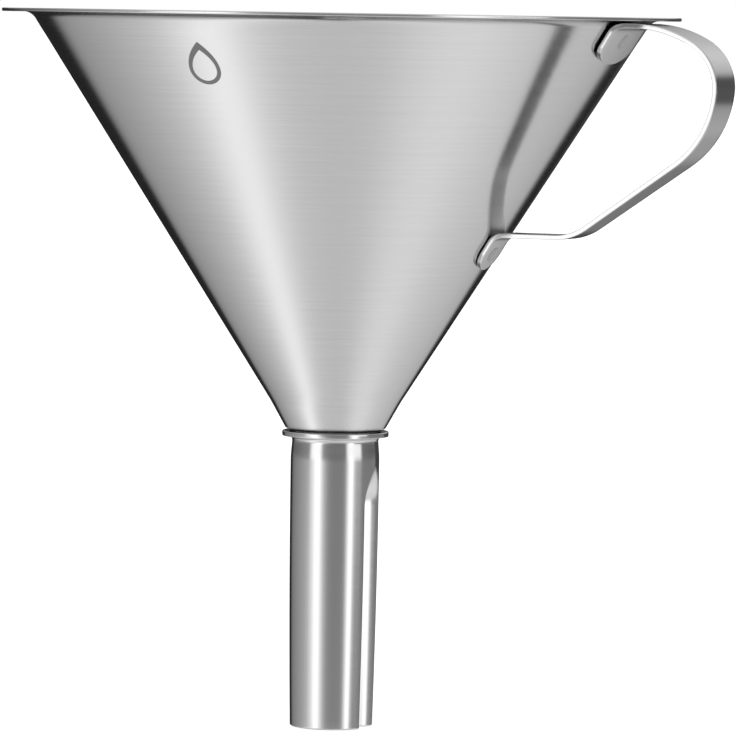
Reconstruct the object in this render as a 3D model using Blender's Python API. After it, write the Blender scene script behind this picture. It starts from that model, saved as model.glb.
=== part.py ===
"""Bottle-filling funnel: a spun steel cone, a spout with a vent groove, and a strap handle.

The origin is on the axis, in the plane of the collar's underside, which rests on a bottle's mouth.
+Z points up to the rim, and the handle is on the +X side. All sizes are in metres.
"""

from math import ceil, cos, hypot, pi, radians, sin, sqrt, tan

import bmesh
import bpy
from mathutils import Matrix, Vector

GAP = 0.0003  # between pieces that touch on the real funnel
WELD_GAP = 0.0001  # around a weld, inside the gap that it fills

# Cone with its rim flange
RIM_RADIUS = 0.0650
RIM_HEIGHT = 0.0809  # middle of the flange's sheet, above the bottle seat
SHEET = 0.00065
CONE_ANGLE = radians(32.4)  # between the wall and the axis
CONE_TOP_RADIUS = 0.0594  # outer face, where the wall would meet the flange's underside
FOOT_ANGLE = radians(29.3)  # the wall steepens a little close to the spout
FOOT_HEIGHT = 0.0070
FLANGE_BEND = 0.0030
FOOT_BEND = 0.0004
CONE_FLOOR = 0.00170  # middle of the sheet that is turned in over the collar
THROAT_RADIUS = 0.0079

# Spout tube with its hemmed collar
TUBE_LENGTH = 0.0560
TUBE_WALL = 0.0005
COLLAR_RADIUS = 0.01025
COLLAR_THICKNESS = 0.0010
COLLAR_EDGE = 0.0002  # rounding of its rim
NECK_RADIUS = 0.00828
SHOULDER_RADIUS = 0.00854
SHOULDER_DEPTH = 0.0045
TIP_RADIUS = 0.00795
UNDER_COLLAR_FILLET = 0.0009

# Vent groove, pressed into the spout on the handle's side
GROOVE_DEPTH = 0.0029
GROOVE_HALF_ANGLE = radians(26)
GROOVE_START = 0.0052  # below the bottle seat
GROOVE_RAMP = 0.0080

# Handle strap, bent from one tapered strip. The radii are those of its middle surface.
STRAP_THICKNESS = 0.0009
STRAP_DROP = 0.00125  # middle of the strap below the middle of the flange, where it leaves the cone
TAB_BEND = 0.0028
LEVEL_START = 0.0008  # straight stretch between the upper tab's bend and the loop
SHOULDER_CURVE = (0.0226, radians(30.4))
KNUCKLE_CURVE = (0.0096, radians(65.4))
PALM_CURVE = (0.0186, radians(49.8))
RETURN_STRAIGHT = 0.0216
ELBOW_RADIUS = 0.0110
UPPER_TAB_WIDTH = 0.0162
UPPER_TAB_END = 0.0083  # below the middle of the flange
UPPER_TAB_ROUNDING = 0.0036
LOOP_WIDTH = 0.0112
WRIST_WIDTH = 0.0066
LOWER_TAB_WIDTH = 0.0078
LOWER_TAB_LENGTH = 0.0062
LOWER_TAB_ROUNDING = 0.0038
FLARE_LENGTH = 0.0060  # over which a tab's width blends into the strap's
TAB_CURL = 0.25  # how far a tab follows the cone's round wall: 0 is flat, and 1 fits it all over

# Welds
SPOT_RADIUS = 0.0015
UPPER_SPOT_FROM_END = 0.0050
LOWER_SPOT_FROM_END = 0.0036
NECK_WELD_RADII = (0.0082, 0.0090)
NECK_WELD_HEIGHTS = (COLLAR_THICKNESS + WELD_GAP, CONE_FLOOR - SHEET / 2 - WELD_GAP)

# Fineness of the meshes
CONE_SIDES = 72
TUBE_SIDES = 60
SPOT_SIDES = 20
WALL_STEPS = 6
SHOULDER_STEPS = 4
RAMP_STEPS = 8
LOWER_TUBE_STEPS = 5
RETURN_STEPS = 4
LEVEL_STEPS = 3
STRAP_STRIPS = 4
TAB_END_TURNS = (0.05, 0.15, 0.3, 0.45, 0.6, 0.8, 1.0)  # shares of the quarter turn round a tab's end
BEND_STEP = radians(15)
STRAP_STEP = radians(9)
SHARP_ANGLE = radians(35)

STEEL = {"color": (0.62, 0.62, 0.61, 1.0), "metallic": 1.0}


def clear_scene():
    for item in list(bpy.data.objects):
        bpy.data.objects.remove(item, do_unlink=True)


def steel(name, roughness):
    material = bpy.data.materials.new(name)
    material.use_nodes = True
    shader = material.node_tree.nodes["Principled BSDF"]
    shader.inputs["Base Color"].default_value = STEEL["color"]
    shader.inputs["Metallic"].default_value = STEEL["metallic"]
    shader.inputs["Roughness"].default_value = roughness
    return material


def add_object(name, mesh, material):
    mesh.materials.append(material)
    mesh.shade_smooth()
    mesh.set_sharp_from_angle(angle=SHARP_ANGLE)
    piece = bpy.data.objects.new(name, mesh)
    bpy.context.scene.collection.objects.link(piece)
    return piece


def mesh_from(name, points, faces):
    """A mesh whose faces all point outwards."""
    shape = bmesh.new()
    corners = [shape.verts.new(point) for point in points]
    for face in faces:
        shape.faces.new([corners[i] for i in face])
    bmesh.ops.recalc_face_normals(shape, faces=shape.faces)
    mesh = bpy.data.meshes.new(name)
    shape.to_mesh(mesh)
    shape.free()
    return mesh


def straight(stations, length, shares=(1.0,)):
    """Goes on along the last heading, with stations at shares of the length."""
    x, z, heading = stations[-1]
    for share in shares:
        run = length * share
        stations.append((x + run * cos(heading), z + run * sin(heading), heading))


def even(steps):
    return [i / steps for i in range(1, steps + 1)]


def arc(stations, radius, turn, step=STRAP_STEP):
    """Turns by an angle, positive to the left of the heading. A station is (x, z, heading)."""
    x, z, heading = stations[-1]
    side = 1 if turn > 0 else -1
    middle_x = x - side * radius * sin(heading)
    middle_z = z + side * radius * cos(heading)
    steps = ceil(abs(turn) / step)
    for i in range(1, steps + 1):
        new = heading + turn * i / steps
        stations.append((middle_x + side * radius * sin(new), middle_z - side * radius * cos(new), new))


def shifted(station, distance):
    """A point off to the left of a station."""
    x, z, heading = station
    return x - distance * sin(heading), z + distance * cos(heading)


def sheet_outline(stations, thickness):
    """The closed outline of a sheet whose middle runs through the stations."""
    left = [shifted(station, thickness / 2) for station in stations]
    right = [shifted(station, -thickness / 2) for station in stations]
    return left + right[::-1]


def turned(name, outline, sides, radius_at=None):
    """Turns a closed outline of (radius, z) about the axis. radius_at may press it in."""
    points = []
    for i in range(sides):
        angle = 2 * pi * i / sides
        for radius, z in outline:
            reach = radius_at(radius, z, angle) if radius_at else radius
            points.append((reach * cos(angle), reach * sin(angle), z))
    count = len(outline)
    faces = []
    for i in range(sides):
        here = i * count
        there = (i + 1) % sides * count
        for j in range(count):
            k = (j + 1) % count
            faces.append((here + j, there + j, there + k, here + k))
    return mesh_from(name, points, faces)


def cone_stations():
    """The middle of the cone's sheet, from the flange's edge down to the throat."""
    foot_heading = -pi / 2 - FOOT_ANGLE
    flange_turn = pi / 2 - CONE_ANGLE
    floor_turn = pi / 2 - FOOT_ANGLE
    corner = CONE_TOP_RADIUS + SHEET / 2 * tan(CONE_ANGLE) - SHEET / 2 / cos(CONE_ANGLE)
    stations = [(RIM_RADIUS, RIM_HEIGHT, -pi)]
    straight(stations, RIM_RADIUS - corner - FLANGE_BEND * tan(flange_turn / 2))
    arc(stations, FLANGE_BEND, flange_turn, BEND_STEP)
    straight(stations, (stations[-1][1] - FOOT_HEIGHT) / cos(CONE_ANGLE), even(WALL_STEPS))
    stations[-1] = (*stations[-1][:2], foot_heading)
    to_floor = (stations[-1][1] - CONE_FLOOR) / cos(FOOT_ANGLE)
    straight(stations, to_floor - FOOT_BEND * tan(floor_turn / 2))
    arc(stations, FOOT_BEND, -floor_turn, BEND_STEP)
    straight(stations, stations[-1][0] - THROAT_RADIUS)
    return stations


def cone_body():
    outline = sheet_outline(cone_stations(), SHEET)
    return add_object("cone_body", turned("cone_body", outline, CONE_SIDES), steel("cone_steel", 0.30))


def smooth(share):
    share = min(max(share, 0), 1)
    return share * share * (3 - 2 * share)


def tube_radius(depth):
    """The spout's outer radius at a depth below the bottle seat: a neck, a shoulder, then a taper."""
    swell = NECK_RADIUS + (SHOULDER_RADIUS - NECK_RADIUS) * smooth(depth / SHOULDER_DEPTH)
    share = max(depth - SHOULDER_DEPTH, 0) / (TUBE_LENGTH - SHOULDER_DEPTH)
    return swell - (SHOULDER_RADIUS - TIP_RADIUS) * share**2


def groove(z, angle):
    """How far the spout's wall is pressed in."""
    run = smooth((-z - GROOVE_START) / GROOVE_RAMP)
    off = (angle + pi) % (2 * pi) - pi
    half = GROOVE_HALF_ANGLE * sqrt(run)
    if abs(off) >= half:
        return 0.0
    return GROOVE_DEPTH * run * cos(pi / 2 * off / half) ** 2


def tube_depths():
    """Closer rings where the shoulder and the groove's ramp curve."""
    depths = [UNDER_COLLAR_FILLET]
    ramp_end = GROOVE_START + GROOVE_RAMP
    stretches = ((SHOULDER_DEPTH, SHOULDER_STEPS), (ramp_end, RAMP_STEPS), (TUBE_LENGTH, LOWER_TUBE_STEPS))
    for end, steps in stretches:
        start = depths[-1]
        depths += [start + (end - start) * share for share in even(steps)]
    return depths


def quarter(middle, radius, start, steps=3):
    """Points of a quarter circle, turning anticlockwise from a start angle."""
    angles = [start + pi / 2 * i / steps for i in range(steps + 1)]
    return [(middle[0] + radius * cos(a), middle[1] + radius * sin(a)) for a in angles]


def tube_outline():
    """Up the outside, round the collar, and down the bore."""
    depths = tube_depths()
    outside = [(tube_radius(depth), -depth) for depth in reversed(depths)]
    fillet_middle = (outside[-1][0] + UNDER_COLLAR_FILLET, -UNDER_COLLAR_FILLET)
    fillet = quarter(fillet_middle, UNDER_COLLAR_FILLET, pi / 2)[::-1][1:]
    edge_radius = COLLAR_RADIUS - COLLAR_EDGE
    rim = quarter((edge_radius, COLLAR_EDGE), COLLAR_EDGE, -pi / 2)
    rim += quarter((edge_radius, COLLAR_THICKNESS - COLLAR_EDGE), COLLAR_EDGE, 0)
    mouth = quarter((NECK_RADIUS, COLLAR_THICKNESS - TUBE_WALL), TUBE_WALL, pi / 2)
    bore = [(tube_radius(depth) - TUBE_WALL, -depth) for depth in depths]
    return outside + fillet + rim + mouth + bore


def spout_tube():
    def pressed(radius, z, angle):
        return radius - groove(z, angle)

    mesh = turned("spout_tube", tube_outline(), TUBE_SIDES, pressed)
    return add_object("spout_tube", mesh, steel("spout_steel", 0.26))


def cone_outer_radius(z):
    return CONE_TOP_RADIUS - (RIM_HEIGHT - SHEET / 2 - z) * tan(CONE_ANGLE)


def tab_line(z):
    """Where the middle of a tab is at a height: on the cone's wall, with the gap between."""
    return cone_outer_radius(z) + (GAP + STRAP_THICKNESS / 2) / cos(CONE_ANGLE)


def end_shares(length, rounding):
    """Shares of a tab's length, close together where its end is rounded. The very end has no width."""
    runs = [rounding * (1 - cos(pi / 2 * turn)) for turn in TAB_END_TURNS]
    return [run / length for run in runs] + [(1 + rounding / length) / 2]


def strap_stations():
    """The middle of the strap from the upper tab's end, over the loop, to the lower tab's end."""
    up_the_wall = pi / 2 - CONE_ANGLE
    reach = TAB_BEND * tan(up_the_wall / 2)
    start_z = RIM_HEIGHT - UPPER_TAB_END
    upper_tab = upper_tab_length()
    stations = [(tab_line(start_z), start_z, up_the_wall)]
    straight(stations, upper_tab, end_shares(upper_tab, UPPER_TAB_ROUNDING) + [1.0])
    arc(stations, TAB_BEND, -up_the_wall)
    straight(stations, LEVEL_START)
    for radius, turn in (SHOULDER_CURVE, KNUCKLE_CURVE, PALM_CURVE):
        arc(stations, radius, -turn)
    straight(stations, RETURN_STRAIGHT, even(RETURN_STEPS))
    arc(stations, ELBOW_RADIUS, -pi - stations[-1][2])
    level = stations[-1][1]
    straight(stations, stations[-1][0] - tab_line(level) - reach, even(LEVEL_STEPS))
    arc(stations, TAB_BEND, up_the_wall)
    shares = [1 - share for share in reversed(end_shares(LOWER_TAB_LENGTH, LOWER_TAB_ROUNDING))]
    straight(stations, LOWER_TAB_LENGTH, shares + [1.0])
    return stations


def upper_tab_length():
    """The flat length of the upper tab, up to where its bend begins."""
    reach = TAB_BEND * tan((pi / 2 - CONE_ANGLE) / 2)
    return (UPPER_TAB_END - STRAP_DROP) / cos(CONE_ANGLE) - reach


def path_lengths(stations):
    lengths = [0.0]
    for a, b in zip(stations, stations[1:]):
        lengths.append(lengths[-1] + hypot(b[0] - a[0], b[1] - a[1]))
    return lengths


def rounded_end(distance, rounding):
    """The share of its width that a tab has at a distance from its end: half an ellipse."""
    return sqrt(1 - max(1 - distance / rounding, 0) ** 2)


def strap_width(run, total):
    """The strap's width at a run along it: two rounded tabs that blend into a tapered strip."""
    taper_start = upper_tab_length() + FLARE_LENGTH
    taper_end = total - LOWER_TAB_LENGTH - FLARE_LENGTH
    body = LOOP_WIDTH + (WRIST_WIDTH - LOOP_WIDTH) * (run - taper_start) / (taper_end - taper_start)
    upper = 1 - smooth((run - upper_tab_length()) / FLARE_LENGTH)
    lower = 1 - smooth((total - run - LOWER_TAB_LENGTH) / FLARE_LENGTH)
    width = body + (UPPER_TAB_WIDTH - body) * upper + (LOWER_TAB_WIDTH - body) * lower
    return width * rounded_end(run, UPPER_TAB_ROUNDING) * rounded_end(total - run, LOWER_TAB_ROUNDING)


def hug(run, total, z, across):
    """How far a tab's edge drops back towards the cone's round wall. It fades out over the bend."""
    bend_run = TAB_BEND * (pi / 2 - CONE_ANGLE)
    upper = 1 - smooth((run - upper_tab_length()) / bend_run)
    lower = 1 - smooth((total - run - LOWER_TAB_LENGTH) / bend_run)
    wall = tab_line(z)
    drop = (wall - sqrt(wall * wall - across * across)) * cos(CONE_ANGLE)
    # The cone is on the left of the path at the upper tab, and on its right at the lower one.
    return TAB_CURL * drop * (upper - lower)


def strap_section(station, half, run, total):
    """One closed ring of points across the strap: its left face, then its right face back."""
    ring = []
    for face in (1, -1):
        for i in range(STRAP_STRIPS + 1):
            across = face * half * (2 * i / STRAP_STRIPS - 1)
            offset = face * STRAP_THICKNESS / 2 + hug(run, total, station[1], across)
            x, z = shifted(station, offset)
            ring.append((x, across, z))
    return ring


def handle_strap():
    stations = strap_stations()
    runs = path_lengths(stations)
    total = runs[-1]
    points = []
    for station, run in list(zip(stations, runs))[1:-1]:
        points += strap_section(station, strap_width(run, total) / 2, run, total)
    ring = 2 * (STRAP_STRIPS + 1)
    faces = [tuple(range(ring)), tuple(range(len(points) - ring, len(points)))]
    for start in range(0, len(points) - ring, ring):
        for j in range(ring):
            k = (j + 1) % ring
            faces.append((start + j, start + k, start + ring + k, start + ring + j))
    mesh = mesh_from("handle_strap", points, faces)
    return add_object("handle_strap", mesh, steel("strap_steel", 0.24))


def spot_frame(height):
    """A placement on the tab's middle line, with local +Z along the cone's outward normal."""
    outward = Vector((cos(CONE_ANGLE), 0, -sin(CONE_ANGLE)))
    tilt = Vector((0, 0, 1)).rotation_difference(outward).to_matrix().to_4x4()
    return Matrix.Translation((tab_line(height), 0, height)) @ tilt


def disc(name, radius, low, high, sides):
    points = []
    for z in (low, high):
        for i in range(sides):
            angle = 2 * pi * i / sides
            points.append((radius * cos(angle), radius * sin(angle), z))
    faces = [tuple(range(sides)), tuple(range(sides, 2 * sides))]
    for i in range(sides):
        j = (i + 1) % sides
        faces.append((i, j, sides + j, sides + i))
    return mesh_from(name, points, faces)


def spot_weld(name, height, strap):
    """A nugget from the cone's wall out to the tab's face, in a hole through the tab."""
    half = STRAP_THICKNESS / 2
    hole = disc(name + "_hole", SPOT_RADIUS + WELD_GAP, -4 * half, 4 * half, SPOT_SIDES)
    cutter = bpy.data.objects.new(name + "_hole", hole)
    bpy.context.scene.collection.objects.link(cutter)
    cutter.matrix_world = spot_frame(height)
    cutter.hide_render = True
    cutter.display_type = "WIRE"
    cut = strap.modifiers.new(name + "_cut", "BOOLEAN")
    cut.operation = "DIFFERENCE"
    cut.object = cutter
    mesh = disc(name, SPOT_RADIUS, -half - GAP + WELD_GAP, half - WELD_GAP, SPOT_SIDES)
    nugget = add_object(name, mesh, steel(name + "_steel", 0.38))
    nugget.matrix_world = spot_frame(height)
    return nugget


def neck_weld_ring():
    (inner, outer), (low, high) = NECK_WELD_RADII, NECK_WELD_HEIGHTS
    outline = [(inner, low), (outer, low), (outer, high), (inner, high)]
    mesh = turned("neck_weld_ring", outline, TUBE_SIDES)
    return add_object("neck_weld_ring", mesh, steel("neck_weld_steel", 0.45))


def main():
    clear_scene()
    cone_body()
    spout_tube()
    neck_weld_ring()
    strap = handle_strap()
    path = strap_stations()
    spot_weld("upper_spot_weld", path[0][1] + UPPER_SPOT_FROM_END * cos(CONE_ANGLE), strap)
    spot_weld("lower_spot_weld", path[-1][1] + LOWER_SPOT_FROM_END * cos(CONE_ANGLE), strap)


main()
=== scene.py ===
"""Looks of the bottle-filling funnel: fine meshes, brushed steel, a pale floor and a soft studio."""

from math import ceil, cos, hypot, pi, radians, sin, sqrt, tan

import bmesh
import bpy
from mathutils import Matrix, Vector


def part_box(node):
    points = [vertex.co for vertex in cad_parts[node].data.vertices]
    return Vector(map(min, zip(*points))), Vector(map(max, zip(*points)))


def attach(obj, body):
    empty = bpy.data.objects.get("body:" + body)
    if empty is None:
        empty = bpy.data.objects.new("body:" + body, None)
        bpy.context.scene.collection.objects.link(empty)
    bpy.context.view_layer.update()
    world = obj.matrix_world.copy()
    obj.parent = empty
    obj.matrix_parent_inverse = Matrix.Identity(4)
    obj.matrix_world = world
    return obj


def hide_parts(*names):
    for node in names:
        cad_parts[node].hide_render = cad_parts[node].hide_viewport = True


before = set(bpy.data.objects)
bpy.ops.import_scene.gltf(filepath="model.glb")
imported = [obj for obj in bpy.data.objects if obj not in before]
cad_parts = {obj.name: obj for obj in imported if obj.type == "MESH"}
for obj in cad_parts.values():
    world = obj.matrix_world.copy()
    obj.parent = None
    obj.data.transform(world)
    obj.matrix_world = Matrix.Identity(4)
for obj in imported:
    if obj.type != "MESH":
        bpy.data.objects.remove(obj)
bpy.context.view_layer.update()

# ---------------------------------------------------------------- sizes, in metres
# The boxes of the CAD give the outer sizes. The others match the CAD, unless a note says more.
RIM_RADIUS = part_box("cone_body")[1].x
RIM_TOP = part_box("cone_body")[1].z
CONE_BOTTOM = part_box("cone_body")[0].z
COLLAR_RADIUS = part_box("spout_tube")[1].x
COLLAR_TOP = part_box("spout_tube")[1].z
TIP_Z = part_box("spout_tube")[0].z

SHEET = 0.00065
RIM_HEIGHT = RIM_TOP - SHEET / 2  # middle of the flange's sheet
CONE_ANGLE = radians(32.4)
CONE_TOP_RADIUS = 0.0594
FOOT_ANGLE = radians(29.3)
FOOT_HEIGHT = 0.0070
FLANGE_BEND = 0.0030
FOOT_BEND = 0.0004
THROAT_RADIUS = 0.0079
CUT_EDGE = 0.00022  # rounding of the flange's trimmed edge, which the CAD leaves sharp

TUBE_WALL = 0.0005
NECK_RADIUS = 0.00828
SHOULDER_RADIUS = 0.00854
SHOULDER_DEPTH = 0.0045
TIP_RADIUS = 0.00795
UNDER_COLLAR_FILLET = 0.0009
COLLAR_EDGE = 0.0002
GROOVE_DEPTH = 0.0029
GROOVE_HALF_ANGLE = radians(26)
GROOVE_START = 0.0052  # below the bottle seat
GROOVE_RAMP = 0.0080

BEAD_RIPPLE = 0.00008
BEAD_WAVES = ((46, 0, 0.3), (17, 1, 0.2))  # (waves round the neck, phase, share of the ripple)

STRAP_THICKNESS = 0.0009
STRAP_DROP = 0.00125
TAB_GAP = 0.00006  # closer to the cone than in the CAD, as the real tabs lie on it
TAB_BEND = 0.0028
LEVEL_START = 0.0011  # longer than in the CAD, so that the loop stays in place
SHOULDER_CURVE = (0.0226, radians(30.4))
KNUCKLE_CURVE = (0.0096, radians(65.4))
PALM_CURVE = (0.0186, radians(49.8))
RETURN_STRAIGHT = 0.0216
ELBOW_RADIUS = 0.0110
UPPER_TAB_WIDTH = 0.0162
UPPER_TAB_END = 0.0083
UPPER_TAB_ROUNDING = 0.0036
LOOP_WIDTH = 0.0112
WRIST_WIDTH = 0.0066
LOWER_TAB_WIDTH = 0.0078
LOWER_TAB_LENGTH = 0.0062
LOWER_TAB_ROUNDING = 0.0038
FLARE_LENGTH = 0.0060
TAB_CURL = 0.25  # how far a tab follows the cone's round wall
STRAP_EDGE = 0.00013  # rounding of the tumbled edges, which the CAD leaves sharp

SPOT_RADIUS = 0.0015
UPPER_SPOT_FROM_END = 0.0050
LOWER_SPOT_FROM_END = 0.0036
PRINT_DISH = 0.00005
PRINT_RISE = 0.00002
PRINT_PROFILE = (  # (share of the spot's radius, height), where -PRINT_DISH is the tab's face
    (0.45, -PRINT_DISH),
    (0.72, -PRINT_DISH / 2),
    (0.84, PRINT_RISE),
    (0.93, PRINT_RISE),
    (1.0, -PRINT_RISE),
)

MARK_ANGLE = radians(-93.6)  # round the axis, from +X
MARK_Z = 0.0705
MARK_RADIUS = 0.0033
MARK_RISE = 0.0060
MARK_LINE = 0.0008
MARK_POINT_LINE = 2.2 * MARK_LINE  # at the drop's point, where its sides meet
MARK_SOFTNESS = 0.00012
MARK_DEPTH = 0.0005  # below the outer face, so that the mark stays off the inner one

# ---------------------------------------------------------------- fineness of the meshes
CONE_SIDES = 360
TUBE_SIDES = 240
SPOT_SIDES = 48
FLANGE_STEPS = 3
WALL_STEPS = 48
FOOT_STEPS = 4
FLOOR_STEPS = 2
NECK_STEPS = 16
RAMP_STEPS = 48
LOWER_TUBE_STEPS = 24
TAB_END_STEPS = 24
TAB_STEPS = 6
LEVEL_START_STEPS = 3
RETURN_STEPS = 24
LEVEL_END_STEPS = 12
STRAP_STRIPS = 12
QUARTER_STEPS = 8
EDGE_STEPS = 5
SHEET_BEND_STEP = radians(5)
TAB_BEND_STEP = radians(3)
LOOP_STEP = radians(2)
SHARP_ANGLE = radians(40)

# ---------------------------------------------------------------- steel's grain
LINE_SLANT = 0.3  # how fast the lines change across a level face, against down a wall
NEAR_AXIS = 0.00001  # keeps the lines defined on the axis
HAZE_SIZE = 0.03
HAZE_DETAIL = 2.0
LINE_DETAIL = 3.0
GRAIN_TINT = 0.07
HAZE_TINT = 0.015
GRAIN_ROUGHNESS = 0.10
HAZE_ROUGHNESS = 0.03
ETCHED_TONE = 0.24
ETCHED_ROUGHNESS = 0.55
QUARTER_TURN = 0.25  # spreads the shine across the lines

# ---------------------------------------------------------------- view and floor
VIEW_AZIMUTH = radians(24.5)
VIEW_DISTANCE = 1.064
VIEW_PITCH = radians(3.643)
VIEW_YAW = radians(0.327)
VIEW_ROLL = radians(0.920)
VIEW_BACK = Vector((sin(VIEW_AZIMUTH), -cos(VIEW_AZIMUTH), 0))  # from the axis to the camera
VIEW_RIGHT = Vector((cos(VIEW_AZIMUTH), sin(VIEW_AZIMUTH), 0))
SENSOR = 36.0
LENS = 271.15

FLOOR_HALF_SIZE = 30.0
FLOOR_DROP = 0.0002  # below the spout's tip
FLOOR_TONE = 0.80
FLOOR_ROUGHNESS = 0.9
FLOOR_GLOW = 0.75

# ---------------------------------------------------------------- brightness of the studio
# A ring lists (degrees, brightness) all round the funnel. 0 is the camera's side, and 90 its right.
PEAK = 2.0
FLOOR_RING = (
    (-180, 0.02), (-155, 0.02), (-150, 0.33), (-140, 0.45), (-126, 0.56), (-111, 0.72), (-97, 0.90),
    (-86, 1.17), (-75, 1.60), (-66, 1.40), (-55, 0.96), (-35, 0.82), (-5, 0.80), (19, 0.81), (30, 0.84),
    (41, 0.93), (61, 1.06), (76, 1.09), (96, 0.94), (112, 0.84), (131, 0.75), (146, 0.62), (160, 0.48),
    (166, 0.24), (180, 0.24),
)
SPOUT_RING = (
    (-180, 0.02), (-150, 0.02), (-144, 0.10), (-138, 0.24), (-121, 0.35), (-102, 0.45), (-86, 0.55),
    (-72, 0.72), (-60, 1.08), (-50, 1.75), (-41, 1.85), (-34, 1.32), (-25, 0.72), (-15, 0.40), (-1, 0.32),
    (20, 0.33), (28, 0.46), (36, 1.20), (40, 1.85), (47, 1.85), (53, 0.68), (61, 0.33), (110, 0.30),
    (128, 0.35), (146, 0.60), (151, 0.02), (180, 0.02),
)
RIM_RING = (
    (-180, 0.02), (-150, 0.05), (-110, 0.15), (-72, 0.25), (-62, 1.80), (-40, 1.80), (-32, 0.25),
    (-10, 0.18), (28, 0.18), (34, 1.70), (70, 1.70), (76, 0.18), (125, 0.10), (160, 0.08), (180, 0.08),
)
UPPER_RING = (
    (-180, 0.45), (-165, 0.35), (-130, 0.35), (-110, 0.60), (-75, 0.90), (-36, 0.90), (-28, 0.45),
    (28, 0.45), (36, 1.00), (72, 1.00), (80, 0.50), (120, 0.43), (135, 0.60), (146, 0.90), (156, 0.75),
    (166, 0.62), (176, 0.45), (180, 0.45),
)
OVERHEAD = 0.9
CARD_TONE = 0.06
BACKDROP = 1.0

# Degrees of elevation over which each part of the studio takes over from the one below it
SPOUT_RING_FROM = (-22, -16)
CARD_FROM = (-9.5, -8)
RIM_RING_FROM = (-3.5, 1.5)
UPPER_RING_FROM = (6, 12)
OVERHEAD_FROM = (42, 62)
CARD_EDGE = (126, 133)  # degrees round, over which the dark card begins


# ---------------------------------------------------------------- outlines
def straight(stations, length, steps=1):
    """Goes on along the last heading. A station is (x, z, heading)."""
    x, z, heading = stations[-1]
    for i in range(1, steps + 1):
        run = length * i / steps
        stations.append((x + run * cos(heading), z + run * sin(heading), heading))


def arc(stations, radius, turn, step=LOOP_STEP):
    """Turns by an angle, positive to the left of the heading."""
    x, z, heading = stations[-1]
    side = 1 if turn > 0 else -1
    middle_x = x - side * radius * sin(heading)
    middle_z = z + side * radius * cos(heading)
    steps = ceil(abs(turn) / step)
    for i in range(1, steps + 1):
        new = heading + turn * i / steps
        stations.append((middle_x + side * radius * sin(new), middle_z - side * radius * cos(new), new))


def shifted(station, distance):
    """A point off to the left of a station."""
    x, z, heading = station
    return x - distance * sin(heading), z + distance * cos(heading)


def quarter(middle, radius, start, steps=QUARTER_STEPS):
    """Points of a quarter circle, turning anticlockwise from a start angle."""
    angles = [start + pi / 2 * i / steps for i in range(steps + 1)]
    return [(middle[0] + radius * cos(a), middle[1] + radius * sin(a)) for a in angles]


def spread(start, end, steps):
    """Even steps from just after the start up to the end."""
    return [start + (end - start) * i / steps for i in range(1, steps + 1)]


def smooth(share):
    share = min(max(share, 0), 1)
    return share * share * (3 - 2 * share)


# ---------------------------------------------------------------- meshes
def mesh_from(name, points, faces, uvs=None):
    """An object from points and faces. uvs gives each point's (u, v)."""
    shape = bmesh.new()
    corners = [shape.verts.new(point) for point in points]
    for face in faces:
        shape.faces.new([corners[i] for i in face])
    bmesh.ops.recalc_face_normals(shape, faces=shape.faces)
    shape.verts.index_update()
    if uvs:
        layer = shape.loops.layers.uv.new("run")
        for face in shape.faces:
            for loop in face.loops:
                loop[layer].uv = uvs[loop.vert.index]
    mesh = bpy.data.meshes.new(name)
    shape.to_mesh(mesh)
    shape.free()
    mesh.shade_smooth()
    mesh.set_sharp_from_angle(angle=SHARP_ANGLE)
    piece = bpy.data.objects.new(name, mesh)
    bpy.context.scene.collection.objects.link(piece)
    return piece


def turned(name, outline, sides, radius_at=None):
    """Turns a closed outline of (radius, z) about the axis. radius_at may press it in."""
    points = []
    for i in range(sides):
        angle = 2 * pi * i / sides
        for radius, z in outline:
            reach = radius_at(radius, z, angle) if radius_at else radius
            points.append((reach * cos(angle), reach * sin(angle), z))
    count = len(outline)
    faces = []
    for i in range(sides):
        here = i * count
        there = (i + 1) % sides * count
        for j in range(count):
            k = (j + 1) % count
            faces.append((here + j, there + j, there + k, here + k))
    return mesh_from(name, points, faces)


def place(piece, material, slot, *nodes):
    """Gives a piece its material and its body, and hides the CAD nodes that it stands for."""
    piece.data.materials.append(material)
    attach(piece, "root")
    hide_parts(*nodes)


# ---------------------------------------------------------------- cone
def cone_outer_radius(z):
    return CONE_TOP_RADIUS - (RIM_HEIGHT - SHEET / 2 - z) * tan(CONE_ANGLE)


def cone_stations():
    """The middle of the cone's sheet, from the flange's rounded edge down to the throat."""
    floor_z = CONE_BOTTOM + SHEET / 2
    flange_turn = pi / 2 - CONE_ANGLE
    floor_turn = pi / 2 - FOOT_ANGLE
    corner = CONE_TOP_RADIUS + SHEET / 2 * tan(CONE_ANGLE) - SHEET / 2 / cos(CONE_ANGLE)
    flange_start = RIM_RADIUS - CUT_EDGE
    stations = [(flange_start, RIM_HEIGHT, -pi)]
    straight(stations, flange_start - corner - FLANGE_BEND * tan(flange_turn / 2), FLANGE_STEPS)
    arc(stations, FLANGE_BEND, flange_turn, SHEET_BEND_STEP)
    straight(stations, (stations[-1][1] - FOOT_HEIGHT) / cos(CONE_ANGLE), WALL_STEPS)
    stations[-1] = (*stations[-1][:2], -pi / 2 - FOOT_ANGLE)
    to_floor = (stations[-1][1] - floor_z) / cos(FOOT_ANGLE)
    straight(stations, to_floor - FOOT_BEND * tan(floor_turn / 2), FOOT_STEPS)
    arc(stations, FOOT_BEND, -floor_turn, SHEET_BEND_STEP)
    straight(stations, stations[-1][0] - THROAT_RADIUS, FLOOR_STEPS)
    return stations


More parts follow.
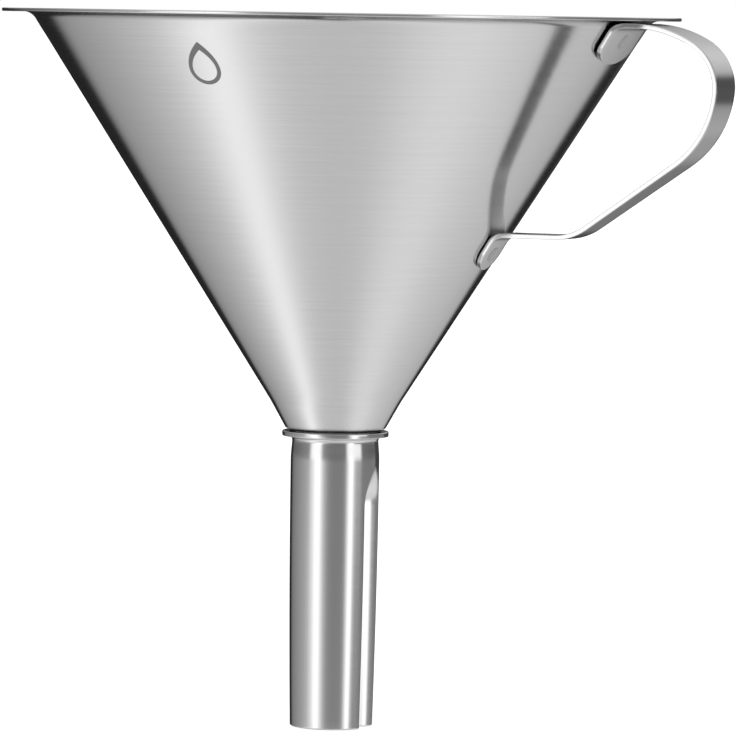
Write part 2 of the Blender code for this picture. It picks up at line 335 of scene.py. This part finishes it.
def cone_shell():
    """Down the outside, up the inside, and round the flange's trimmed edge."""
    stations = cone_stations()
    outside = [shifted(station, SHEET / 2) for station in stations]
    inside = [shifted(station, -SHEET / 2) for station in reversed(stations)]
    middle = RIM_RADIUS - CUT_EDGE
    flat = SHEET / 2 - CUT_EDGE
    upper = quarter((middle, RIM_HEIGHT + flat), CUT_EDGE, 0)[::-1][1:]
    lower = quarter((middle, RIM_HEIGHT - flat), CUT_EDGE, -pi / 2)[::-1][:-1]
    return turned("cone_shell", outside + inside + upper + lower, CONE_SIDES)


# ---------------------------------------------------------------- spout
def tube_radius(depth):
    """The spout's outer radius at a depth below the bottle seat: a neck, a shoulder, then a taper."""
    swell = NECK_RADIUS + (SHOULDER_RADIUS - NECK_RADIUS) * smooth(depth / SHOULDER_DEPTH)
    share = max(depth - SHOULDER_DEPTH, 0) / (-TIP_Z - SHOULDER_DEPTH)
    return swell - (SHOULDER_RADIUS - TIP_RADIUS) * share**2


def groove(z, angle):
    """How far the spout's wall is pressed in."""
    run = smooth((-z - GROOVE_START) / GROOVE_RAMP)
    off = (angle + pi) % (2 * pi) - pi
    half = GROOVE_HALF_ANGLE * sqrt(run)
    if abs(off) >= half:
        return 0.0
    return GROOVE_DEPTH * run * cos(pi / 2 * off / half) ** 2


def tube_depths():
    """Closer rings where the shoulder and the groove's ramp curve. The last is where the tip rounds."""
    ramp_end = GROOVE_START + GROOVE_RAMP
    depths = [UNDER_COLLAR_FILLET]
    depths += spread(UNDER_COLLAR_FILLET, SHOULDER_DEPTH, NECK_STEPS)
    depths += spread(SHOULDER_DEPTH, ramp_end, RAMP_STEPS)
    depths += spread(ramp_end, -TIP_Z - TUBE_WALL / 2, LOWER_TUBE_STEPS)
    return depths


def collar_outline(neck):
    """From the fillet under the collar, round its rim, to the rounded mouth of the bore."""
    fillet_middle = (neck + UNDER_COLLAR_FILLET, -UNDER_COLLAR_FILLET)
    fillet = quarter(fillet_middle, UNDER_COLLAR_FILLET, pi / 2)[::-1][1:]
    edge_radius = COLLAR_RADIUS - COLLAR_EDGE
    rim = quarter((edge_radius, COLLAR_EDGE), COLLAR_EDGE, -pi / 2)
    rim += quarter((edge_radius, COLLAR_TOP - COLLAR_EDGE), COLLAR_EDGE, 0)
    mouth = quarter((NECK_RADIUS, COLLAR_TOP - TUBE_WALL), TUBE_WALL, pi / 2)
    return fillet + rim + mouth


def spout():
    """Up the outside, round the collar, down the bore, and round the tip."""
    outside = [(tube_radius(depth), -depth) for depth in reversed(tube_depths())]
    bore = [(radius - TUBE_WALL, z) for radius, z in reversed(outside)]
    tip_radius, tip_z = outside[0]
    tip_middle = (tip_radius - TUBE_WALL / 2, tip_z)
    tip = quarter(tip_middle, TUBE_WALL / 2, pi)[1:] + quarter(tip_middle, TUBE_WALL / 2, -pi / 2)[1:-1]

    def pressed(radius, z, angle):
        return radius - groove(z, angle)

    return turned("spout", outside + collar_outline(outside[-1][0]) + bore + tip, TUBE_SIDES, pressed)


def neck_bead():
    """The thin, slightly uneven bead that fills the seam between the cone's floor and the collar."""
    low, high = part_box("neck_weld_ring")
    half = (high.z - low.z) / 2
    middle = (low.z + high.z) / 2
    outer = high.x - half
    outline = quarter((outer, middle), half, -pi / 2, EDGE_STEPS)
    outline += quarter((outer, middle), half, 0, EDGE_STEPS)[1:]
    outline += [(NECK_RADIUS, high.z), (NECK_RADIUS, low.z)]

    def rippled(radius, z, angle):
        if radius <= NECK_RADIUS:
            return radius
        ripple = 0.5 + sum(share * sin(waves * angle + phase) for waves, phase, share in BEAD_WAVES)
        return radius - BEAD_RIPPLE * ripple

    return turned("neck_bead", outline, TUBE_SIDES, rippled)


# ---------------------------------------------------------------- handle
def tab_line(z):
    """Where the middle of a tab is at a height: on the cone's wall."""
    return cone_outer_radius(z) + (TAB_GAP + STRAP_THICKNESS / 2) / cos(CONE_ANGLE)


def tab_bend_reach():
    """How far a tab's bend reaches along the straight stretches on both sides of its corner."""
    return TAB_BEND * tan((pi / 2 - CONE_ANGLE) / 2)


def upper_tab_length():
    """The flat length of the upper tab, up to where its bend begins."""
    return (UPPER_TAB_END - STRAP_DROP) / cos(CONE_ANGLE) - tab_bend_reach()


def tab_stations(stations, length, rounding, towards_end):
    """A straight tab whose stations crowd together where its end is rounded."""
    turns = spread(0, pi / 2, TAB_END_STEPS)
    shares = [rounding / length * (1 - cos(turn)) for turn in turns]
    shares += spread(shares[-1], 1, TAB_STEPS)
    if towards_end:
        shares = [1 - share for share in reversed(shares[:-1])] + [1.0]
    x, z, heading = stations[-1]
    for share in shares:
        stations.append((x + length * share * cos(heading), z + length * share * sin(heading), heading))


def strap_stations():
    """The middle of the strap from the upper tab's end, over the loop, to the lower tab's end."""
    up_the_wall = pi / 2 - CONE_ANGLE
    start_z = RIM_HEIGHT - UPPER_TAB_END
    stations = [(tab_line(start_z), start_z, up_the_wall)]
    tab_stations(stations, upper_tab_length(), UPPER_TAB_ROUNDING, False)
    arc(stations, TAB_BEND, -up_the_wall, TAB_BEND_STEP)
    straight(stations, LEVEL_START, LEVEL_START_STEPS)
    for radius, turn in (SHOULDER_CURVE, KNUCKLE_CURVE, PALM_CURVE):
        arc(stations, radius, -turn)
    straight(stations, RETURN_STRAIGHT, RETURN_STEPS)
    arc(stations, ELBOW_RADIUS, -pi - stations[-1][2])
    to_wall = stations[-1][0] - tab_line(stations[-1][1])
    straight(stations, to_wall - tab_bend_reach(), LEVEL_END_STEPS)
    arc(stations, TAB_BEND, up_the_wall, TAB_BEND_STEP)
    tab_stations(stations, LOWER_TAB_LENGTH, LOWER_TAB_ROUNDING, True)
    return stations


def path_lengths(stations):
    lengths = [0.0]
    for a, b in zip(stations, stations[1:]):
        lengths.append(lengths[-1] + hypot(b[0] - a[0], b[1] - a[1]))
    return lengths


def rounded_end(distance, rounding):
    """The share of its width that a tab has at a distance from its end: half an ellipse."""
    return sqrt(1 - max(1 - distance / rounding, 0) ** 2)


def strap_width(run, total):
    """The strap's width at a run along it: two rounded tabs that blend into a tapered strip."""
    taper_start = upper_tab_length() + FLARE_LENGTH
    taper_end = total - LOWER_TAB_LENGTH - FLARE_LENGTH
    body = LOOP_WIDTH + (WRIST_WIDTH - LOOP_WIDTH) * (run - taper_start) / (taper_end - taper_start)
    upper = 1 - smooth((run - upper_tab_length()) / FLARE_LENGTH)
    lower = 1 - smooth((total - run - LOWER_TAB_LENGTH) / FLARE_LENGTH)
    width = body + (UPPER_TAB_WIDTH - body) * upper + (LOWER_TAB_WIDTH - body) * lower
    return width * rounded_end(run, UPPER_TAB_ROUNDING) * rounded_end(total - run, LOWER_TAB_ROUNDING)


def hug(run, total, z, across):
    """How far a tab's edge drops back towards the cone's round wall. It fades out over the bend."""
    bend_run = TAB_BEND * (pi / 2 - CONE_ANGLE)
    upper = 1 - smooth((run - upper_tab_length()) / bend_run)
    lower = 1 - smooth((total - run - LOWER_TAB_LENGTH) / bend_run)
    wall = tab_line(z)
    drop = (wall - sqrt(wall * wall - across * across)) * cos(CONE_ANGLE)
    # The cone is on the left of the path at the upper tab, and on its right at the lower one.
    return TAB_CURL * drop * (upper - lower)


def strap_outline(half):
    """A flat strip's section as (across, out) points, with tumbled edges."""
    edge = min(STRAP_EDGE, half / 2)
    flat = half - edge
    thick = STRAP_THICKNESS / 2
    points = [(flat * (2 * i / STRAP_STRIPS - 1), thick) for i in range(STRAP_STRIPS)]
    points += quarter((flat, thick - edge), edge, 0, EDGE_STEPS)[::-1]
    points += quarter((flat, edge - thick), edge, -pi / 2, EDGE_STEPS)[::-1]
    points += [(flat * (1 - 2 * i / STRAP_STRIPS), -thick) for i in range(1, STRAP_STRIPS)]
    points += quarter((-flat, edge - thick), edge, pi, EDGE_STEPS)[::-1]
    points += quarter((-flat, thick - edge), edge, pi / 2, EDGE_STEPS)[::-1][:-1]
    return points


def strap():
    """A section at each station but the two ends, where the width is nothing."""
    stations = strap_stations()
    runs = path_lengths(stations)
    total = runs[-1]
    points = []
    uvs = []
    for station, run in list(zip(stations, runs))[1:-1]:
        for across, out in strap_outline(strap_width(run, total) / 2):
            x, z = shifted(station, out + hug(run, total, station[1], across))
            points.append((x, across, z))
            uvs.append((run, across))
    ring = len(strap_outline(LOOP_WIDTH))
    faces = [tuple(range(ring)), tuple(range(len(points) - ring, len(points)))]
    for start in range(0, len(points) - ring, ring):
        for j in range(ring):
            k = (j + 1) % ring
            faces.append((start + j, start + k, start + ring + k, start + ring + j))
    return mesh_from("strap", points, faces, uvs)


def print_points():
    """The middle of a weld print, then a ring for each step of its profile."""
    points = [(0, 0, -PRINT_DISH)]
    for share, out in PRINT_PROFILE:
        for i in range(SPOT_SIDES):
            angle = 2 * pi * i / SPOT_SIDES
            points.append((share * SPOT_RADIUS * cos(angle), share * SPOT_RADIUS * sin(angle), out))
    return points


def print_faces():
    """A fan round the middle, bands between the rings, and a closed back."""
    last = 1 + (len(PRINT_PROFILE) - 1) * SPOT_SIDES
    faces = []
    for i in range(SPOT_SIDES):
        j = (i + 1) % SPOT_SIDES
        faces.append((0, 1 + i, 1 + j))
        for here in range(1, last, SPOT_SIDES):
            faces.append((here + i, here + SPOT_SIDES + i, here + SPOT_SIDES + j, here + j))
    faces.append(tuple(last + i for i in reversed(range(SPOT_SIDES))))
    return faces


def spot_mark(name, height):
    """The dished print of the welding electrode, with a low rim, on a tab's face."""
    piece = mesh_from(name, print_points(), print_faces())
    outward = Vector((cos(CONE_ANGLE), 0, -sin(CONE_ANGLE)))
    tilt = Vector((0, 0, 1)).rotation_difference(outward).to_matrix().to_4x4()
    on_face = Vector((tab_line(height), 0, height)) + outward * (STRAP_THICKNESS / 2 + PRINT_DISH)
    piece.matrix_world = Matrix.Translation(on_face) @ tilt
    return piece


# ---------------------------------------------------------------- node helpers
def feed(tree, socket, value):
    """Links a socket to another, or sets its value."""
    if isinstance(value, bpy.types.NodeSocket):
        tree.links.new(value, socket)
    else:
        socket.default_value = value


def calc(tree, operation, *values):
    node = tree.nodes.new("ShaderNodeMath")
    node.operation = operation
    for socket, value in zip(node.inputs, values):
        feed(tree, socket, value)
    return node.outputs[0]


def dot(tree, first, second):
    """The sum of two products."""
    return calc(tree, "ADD", calc(tree, "MULTIPLY", *first), calc(tree, "MULTIPLY", *second))


def rise(tree, value, low, high):
    """0 below low, 1 above high, and a smooth step between them."""
    node = tree.nodes.new("ShaderNodeMapRange")
    node.interpolation_type = "SMOOTHSTEP"
    feed(tree, node.inputs["Value"], value)
    node.inputs["From Min"].default_value = low
    node.inputs["From Max"].default_value = high
    return node.outputs["Result"]


def blend(tree, share, a, b):
    node = tree.nodes.new("ShaderNodeMix")
    feed(tree, node.inputs["Factor"], share)
    feed(tree, node.inputs["A"], a)
    feed(tree, node.inputs["B"], b)
    return node.outputs["Result"]


def vector(tree, x, y, z):
    node = tree.nodes.new("ShaderNodeCombineXYZ")
    for socket, value in zip(node.inputs, (x, y, z)):
        feed(tree, socket, value)
    return node.outputs[0]


def split(tree, source):
    node = tree.nodes.new("ShaderNodeSeparateXYZ")
    feed(tree, node.inputs[0], source)
    return node.outputs[:3]


def noise(tree, coordinates, detail):
    node = tree.nodes.new("ShaderNodeTexNoise")
    node.inputs["Scale"].default_value = 1.0
    node.inputs["Detail"].default_value = detail
    feed(tree, node.inputs["Vector"], coordinates)
    return node.outputs["Fac"]


def centred(tree, value, size):
    """A noise value turned into a small change either way."""
    return calc(tree, "MULTIPLY", calc(tree, "SUBTRACT", value, 0.5), size)


# ---------------------------------------------------------------- steel
def turned_lines(tree, here, pitch, turn):
    """Brush lines round the axis, a pitch apart, each running for about a turn in radians."""
    x, y, z = here
    reach = calc(tree, "MAXIMUM", calc(tree, "SQRT", dot(tree, (x, x), (y, y))), NEAR_AXIS)
    round_x = calc(tree, "DIVIDE", calc(tree, "DIVIDE", x, reach), turn)
    round_y = calc(tree, "DIVIDE", calc(tree, "DIVIDE", y, reach), turn)
    drop = calc(tree, "ADD", z, calc(tree, "MULTIPLY", reach, LINE_SLANT))
    stretched = vector(tree, round_x, round_y, calc(tree, "DIVIDE", drop, pitch))
    return noise(tree, stretched, LINE_DETAIL)


def run_lines(tree, here, pitch, length):
    """Brush lines along the strap, from its own (run, across) map."""
    node = tree.nodes.new("ShaderNodeUVMap")
    node.uv_map = "run"
    run, across, _ = split(tree, node.outputs["UV"])
    along = calc(tree, "DIVIDE", run, length)
    return noise(tree, vector(tree, along, calc(tree, "DIVIDE", across, pitch), 0.0), LINE_DETAIL)


def brush_direction(tree, lines):
    """The tangent that the shine is stretched from: along the strap's map, or round the axis."""
    tangent = tree.nodes.new("ShaderNodeTangent")
    if any(make is run_lines for make, *_ in lines):
        tangent.direction_type = "UV_MAP"
        tangent.uv_map = "run"
    else:
        tangent.direction_type = "RADIAL"
        tangent.axis = "Z"
    return tangent.outputs["Tangent"]


def relief(tree, grain, depth):
    bump = tree.nodes.new("ShaderNodeBump")
    bump.inputs["Strength"].default_value = 1.0
    bump.inputs["Distance"].default_value = depth
    feed(tree, bump.inputs["Height"], grain)
    return bump.outputs["Normal"]


def steel(name, tone, roughness, anisotropy, lines, depth, mark=None):
    """Satin steel. lines lists (function, pitch, length, weight), and depth is the grain's relief."""
    material = bpy.data.materials.new(name)
    material.use_nodes = True
    tree = material.node_tree
    shader = tree.nodes["Principled BSDF"]
    here = split(tree, tree.nodes.new("ShaderNodeTexCoord").outputs["Object"])
    grain = 0.0
    for make, pitch, length, weight in lines:
        grain = calc(tree, "ADD", grain, centred(tree, make(tree, here, pitch, length), weight))
    haze = noise(tree, vector(tree, *(calc(tree, "DIVIDE", axis, HAZE_SIZE) for axis in here)), HAZE_DETAIL)

    def varied(value, grain_share, haze_share):
        value = calc(tree, "ADD", value, calc(tree, "MULTIPLY", grain, grain_share))
        return calc(tree, "ADD", value, centred(tree, haze, haze_share))

    tint = varied(tone, GRAIN_TINT, HAZE_TINT)
    rough = varied(roughness, GRAIN_ROUGHNESS, HAZE_ROUGHNESS)
    if mark:
        etched = mark(tree, here)
        tint = blend(tree, etched, tint, ETCHED_TONE)
        rough = blend(tree, etched, rough, ETCHED_ROUGHNESS)
    shader.inputs["Metallic"].default_value = 1.0
    shader.inputs["Anisotropic"].default_value = anisotropy
    shader.inputs["Anisotropic Rotation"].default_value = QUARTER_TURN
    feed(tree, shader.inputs["Base Color"], tint)
    feed(tree, shader.inputs["Roughness"], rough)
    feed(tree, shader.inputs["Normal"], relief(tree, grain, depth))
    feed(tree, shader.inputs["Tangent"], brush_direction(tree, lines))
    return material


def drop_mask(tree, across, along, radius, height):
    """1 inside a drop: a half circle below, tapering to a point above."""
    below = calc(tree, "SUBTRACT", radius * radius, calc(tree, "MULTIPLY", along, along))
    below = calc(tree, "SQRT", calc(tree, "MAXIMUM", below, 0.0))
    share = calc(tree, "DIVIDE", along, height)
    above = calc(tree, "SUBTRACT", 1.0, calc(tree, "MULTIPLY", share, share))
    above = calc(tree, "MULTIPLY", above, radius)
    half = blend(tree, calc(tree, "GREATER_THAN", along, 0.0), below, above)
    return rise(tree, calc(tree, "SUBTRACT", half, calc(tree, "ABSOLUTE", across)), 0.0, MARK_SOFTNESS)


def etched_drop(tree, here):
    """A plain drop outline, etched on the cone's outer face."""
    x, y, z = here
    across = dot(tree, (x, -sin(MARK_ANGLE)), (y, cos(MARK_ANGLE)))
    outward = dot(tree, (x, cos(MARK_ANGLE)), (y, sin(MARK_ANGLE)))
    along = calc(tree, "DIVIDE", calc(tree, "SUBTRACT", z, MARK_Z), cos(CONE_ANGLE))
    outer = drop_mask(tree, across, along, MARK_RADIUS, MARK_RISE)
    inner = drop_mask(tree, across, along, MARK_RADIUS - MARK_LINE, MARK_RISE - MARK_POINT_LINE)
    slope = calc(tree, "MULTIPLY", z, tan(CONE_ANGLE))
    below_face = calc(tree, "ADD", slope, cone_outer_radius(0) - MARK_DEPTH)
    outside = calc(tree, "GREATER_THAN", outward, below_face)
    return calc(tree, "MULTIPLY", calc(tree, "SUBTRACT", outer, inner), outside)


# ---------------------------------------------------------------- studio
def ring_share(degrees):
    """Where a direction round the funnel falls on a ring's ramp, from 0 to 1."""
    return (degrees + 180) / 360


def ring(tree, share, stops):
    """The brightness round the funnel. The ramp holds shares of the peak, as it can't go above 1."""
    node = tree.nodes.new("ShaderNodeValToRGB")
    node.color_ramp.interpolation = "LINEAR"
    elements = node.color_ramp.elements
    while len(elements) > 1:
        elements.remove(elements[-1])
    for i, (degrees, brightness) in enumerate(stops):
        element = elements[0] if i == 0 else elements.new(ring_share(degrees))
        element.position = ring_share(degrees)
        element.color = (*[brightness / PEAK] * 3, 1.0)
    feed(tree, node.inputs["Fac"], share)
    return calc(tree, "MULTIPLY", node.outputs["Color"], PEAK)


def studio_light(tree):
    """The rings, one above the other, with a dark card in them and a bright overhead."""
    x, y, z = split(tree, tree.nodes.new("ShaderNodeTexCoord").outputs["Generated"])
    towards = dot(tree, (x, VIEW_BACK.x), (y, VIEW_BACK.y))
    aside = dot(tree, (x, VIEW_RIGHT.x), (y, VIEW_RIGHT.y))
    share = calc(tree, "ADD", calc(tree, "DIVIDE", calc(tree, "ARCTAN2", aside, towards), 2 * pi), 0.5)

    def above(elevations):
        return rise(tree, z, *(sin(radians(degrees)) for degrees in elevations))

    light = blend(tree, above(SPOUT_RING_FROM), ring(tree, share, FLOOR_RING), ring(tree, share, SPOUT_RING))
    card = rise(tree, share, *(ring_share(degrees) for degrees in CARD_EDGE))
    light = blend(tree, calc(tree, "MULTIPLY", card, above(CARD_FROM)), light, CARD_TONE)
    light = blend(tree, above(RIM_RING_FROM), light, ring(tree, share, RIM_RING))
    light = blend(tree, above(UPPER_RING_FROM), light, ring(tree, share, UPPER_RING))
    return blend(tree, above(OVERHEAD_FROM), light, OVERHEAD)


def studio():
    """Soft boxes and dark cards light the funnel. The camera itself sees plain white behind it."""
    world = bpy.data.worlds.new("studio")
    bpy.context.scene.world = world
    world.use_nodes = True
    tree = world.node_tree
    seen = tree.nodes.new("ShaderNodeLightPath").outputs["Is Camera Ray"]
    light = blend(tree, seen, studio_light(tree), BACKDROP)
    feed(tree, tree.nodes["Background"].inputs["Color"], light)


def floor():
    size = FLOOR_HALF_SIZE
    mesh = bpy.data.meshes.new("floor")
    corners = [(-size, -size, 0), (size, -size, 0), (size, size, 0), (-size, size, 0)]
    mesh.from_pydata(corners, [], [(0, 1, 2, 3)])
    sheet = bpy.data.objects.new("floor", mesh)
    bpy.context.scene.collection.objects.link(sheet)
    sheet.location.z = TIP_Z - FLOOR_DROP
    sheet.visible_glossy = False
    material = bpy.data.materials.new("pale_floor")
    material.use_nodes = True
    shader = material.node_tree.nodes["Principled BSDF"]
    shader.inputs["Base Color"].default_value = (FLOOR_TONE, FLOOR_TONE, FLOOR_TONE, 1)
    shader.inputs["Roughness"].default_value = FLOOR_ROUGHNESS
    shader.inputs["Emission Color"].default_value = (1, 1, 1, 1)
    shader.inputs["Emission Strength"].default_value = FLOOR_GLOW
    mesh.materials.append(material)


def turned_pair(first, second, angle):
    """Two axes at right angles, turned so that the first leans towards the second."""
    return first * cos(angle) + second * sin(angle), second * cos(angle) - first * sin(angle)


def camera():
    """Level with the rim, a little to the handle's side, with the small tilts of a hand-held shot."""
    ahead, right = turned_pair(-VIEW_BACK, VIEW_RIGHT, VIEW_YAW)
    up, ahead = turned_pair(Vector((0, 0, 1)), ahead, VIEW_PITCH)
    right, up = turned_pair(right, up, VIEW_ROLL)
    data = bpy.data.cameras.new("camera")
    data.sensor_width = SENSOR
    data.lens = LENS
    eye = bpy.data.objects.new("camera", data)
    bpy.context.scene.collection.objects.link(eye)
    turn = Matrix((right, up, -ahead)).transposed().to_4x4()
    eye.matrix_world = Matrix.Translation(VIEW_BACK * VIEW_DISTANCE + Vector((0, 0, RIM_HEIGHT))) @ turn
    bpy.context.scene.camera = eye


# ---------------------------------------------------------------- the funnel
def add_cone():
    material = steel(
        "turned_steel",
        tone=0.62,
        roughness=0.20,
        anisotropy=0.9,
        lines=[(turned_lines, 0.00022, 0.5, 1.0), (turned_lines, 0.0009, 1.0, 0.5)],
        depth=0.000004,
        mark=etched_drop,
    )
    place(cone_shell(), material, "cone_steel", "cone_body")


def add_spout():
    material = steel(
        "polished_steel",
        tone=0.62,
        roughness=0.18,
        anisotropy=0.6,
        lines=[(turned_lines, 0.00020, 0.4, 0.6)],
        depth=0.000003,
    )
    place(spout(), material, "spout_steel", "spout_tube")


def add_strap():
    material = steel(
        "lengthwise_steel",
        tone=0.63,
        roughness=0.20,
        anisotropy=0.5,
        lines=[(run_lines, 0.00020, 0.012, 0.8)],
        depth=0.000004,
    )
    place(strap(), material, "strap_steel", "handle_strap")


def add_weld_prints():
    material = steel(
        "pressed_steel",
        tone=0.56,
        roughness=0.34,
        anisotropy=0.0,
        lines=[(turned_lines, 0.0004, 0.3, 1.0)],
        depth=0.000010,
    )
    path = strap_stations()
    upper = path[0][1] + UPPER_SPOT_FROM_END * cos(CONE_ANGLE)
    lower = path[-1][1] + LOWER_SPOT_FROM_END * cos(CONE_ANGLE)
    place(spot_mark("upper_weld_print", upper), material, "spot_weld_steel", "upper_spot_weld")
    place(spot_mark("lower_weld_print", lower), material, "spot_weld_steel", "lower_spot_weld")


def add_neck_bead():
    material = steel(
        "seam_steel_painted_shade",
        # The bead's near-black tone is painted shade: it stands in for the shadow in the crevice between the
        # cone's floor and the collar.
        tone=0.08,
        roughness=0.45,
        anisotropy=0.0,
        lines=[(turned_lines, 0.0004, 0.05, 1.0)],
        depth=0.00002,
    )
    place(neck_bead(), material, "neck_weld_steel", "neck_weld_ring")


def main():
    add_cone()
    add_spout()
    add_strap()
    add_weld_prints()
    add_neck_bead()
    studio()
    floor()
    camera()
    bpy.context.scene.view_settings.view_transform = "Standard"


main()
